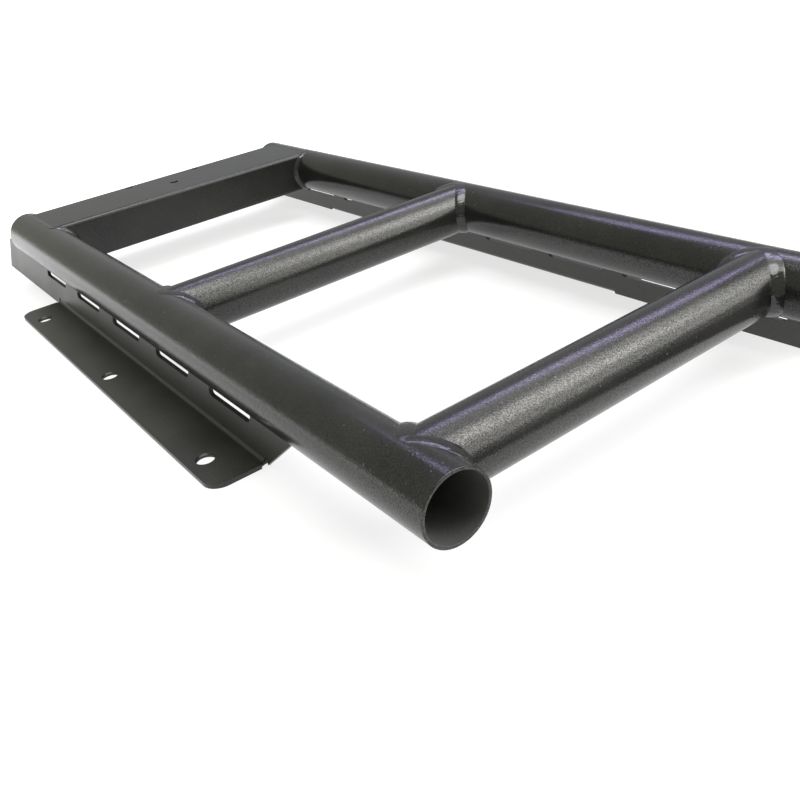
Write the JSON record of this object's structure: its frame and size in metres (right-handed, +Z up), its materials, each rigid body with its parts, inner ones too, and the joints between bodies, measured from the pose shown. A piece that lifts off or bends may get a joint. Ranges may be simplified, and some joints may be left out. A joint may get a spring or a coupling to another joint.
{
  "type": "car ladder",
  "caption": "Short welded tube ladder for a vehicle, with round rails and rungs, a box-section top bar and bent sheet brackets with bolt holes.",
  "frame": {"origin": "middle of the ladder's base, on the mounting plane under the bracket flanges", "axes": "+X across the ladder to the right rail, +Y along the rails towards the top bar, +Z up from the mounting plane to the rungs"},
  "size_m": [0.401, 0.777, 0.072],
  "materials": {
    "tube": "satin black powder coat",
    "bar": "satin black powder coat",
    "bracket": "satin black powder coat",
    "weld": "satin black powder coat over weld"
  },
  "bodies": {
    "root": {"left_bracket": "bracket", "left_bracket_weld_1": "weld", "left_bracket_weld_2": "weld", "left_bracket_weld_3": "weld", "left_bracket_weld_4": "weld", "left_bracket_weld_5": "weld", "left_bracket_weld_6": "weld", "left_rail": "tube", "lower_rung": "tube", "lower_rung_weld_left": "weld", "lower_rung_weld_right": "weld", "right_bracket": "bracket", "right_bracket_weld_1": "weld", "right_bracket_weld_2": "weld", "right_bracket_weld_3": "weld", "right_bracket_weld_4": "weld", "right_bracket_weld_5": "weld", "right_bracket_weld_6": "weld", "right_bracket_weld_7": "weld", "right_bracket_weld_8": "weld", "right_bracket_weld_9": "weld", "right_rail": "tube", "top_bar": "bar", "top_bar_weld_left": "weld", "top_bar_weld_right": "weld", "upper_rung": "tube", "upper_rung_weld_left": "weld", "upper_rung_weld_right": "weld"}
  },
  "joints": []
}
